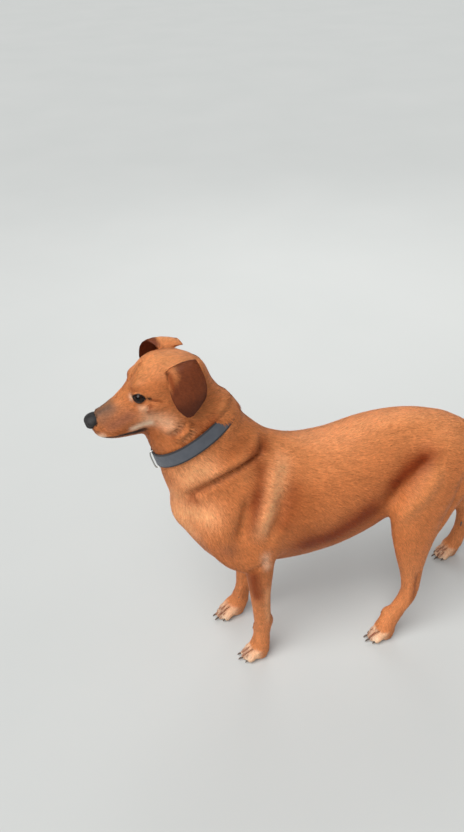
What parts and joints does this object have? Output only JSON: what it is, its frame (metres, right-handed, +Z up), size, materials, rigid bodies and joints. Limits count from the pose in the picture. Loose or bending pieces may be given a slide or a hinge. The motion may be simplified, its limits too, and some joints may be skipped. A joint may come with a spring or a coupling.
{
  "type": "dog",
  "caption": "Still life-size model of a standing short-coated tan dog with drop ears, a deep chest, a hanging tail and a webbing collar with a steel loop.",
  "frame": {"origin": "on the floor under the middle of the whole animal, level with the soles of the paws", "axes": "+Z up; the dog faces -Y and its left side is at +X"},
  "size_m": [0.2055, 0.8086, 0.6357],
  "materials": {
    "coat": "short flat red-gold fur",
    "pale_coat": "short cream fur",
    "ear_coat": "very short chocolate fur",
    "eye": "wet and glossy, dark brown",
    "nose_leather": "damp black pebbled skin",
    "claw_horn": "satin dark horn",
    "webbing": "slate grey woven webbing with darker edges",
    "steel": "polished wire",
    "black_plastic": "moulded, satin"
  },
  "bodies": {
    "root": {"head": "coat", "neck": "coat", "trunk": "coat", "tail": "coat", "foreleg_left": "coat", "foreleg_right": "coat", "hindleg_left": "coat", "hindleg_right": "coat", "paw_fore_left": "pale_coat", "paw_fore_right": "pale_coat", "paw_hind_left": "pale_coat", "paw_hind_right": "pale_coat", "ear_left": "ear_coat", "ear_right": "ear_coat", "eye_left": "eye", "eye_right": "eye", "nose": "nose_leather", "collar": "webbing", "collar_ring": "steel", "collar_buckle": "black_plastic", "claw_fore_left_1": "claw_horn", "claw_fore_left_2": "claw_horn", "claw_fore_left_3": "claw_horn", "claw_fore_left_4": "claw_horn", "claw_fore_right_1": "claw_horn", "claw_fore_right_2": "claw_horn", "claw_fore_right_3": "claw_horn", "claw_fore_right_4": "claw_horn", "claw_hind_left_1": "claw_horn", "claw_hind_left_2": "claw_horn", "claw_hind_left_3": "claw_horn", "claw_hind_left_4": "claw_horn", "claw_hind_right_1": "claw_horn", "claw_hind_right_2": "claw_horn", "claw_hind_right_3": "claw_horn", "claw_hind_right_4": "claw_horn", "dewclaw_fore_left": "claw_horn", "dewclaw_fore_right": "claw_horn", "dewclaw_hind_left": "claw_horn", "dewclaw_hind_right": "claw_horn"}
  },
  "joints": []
}
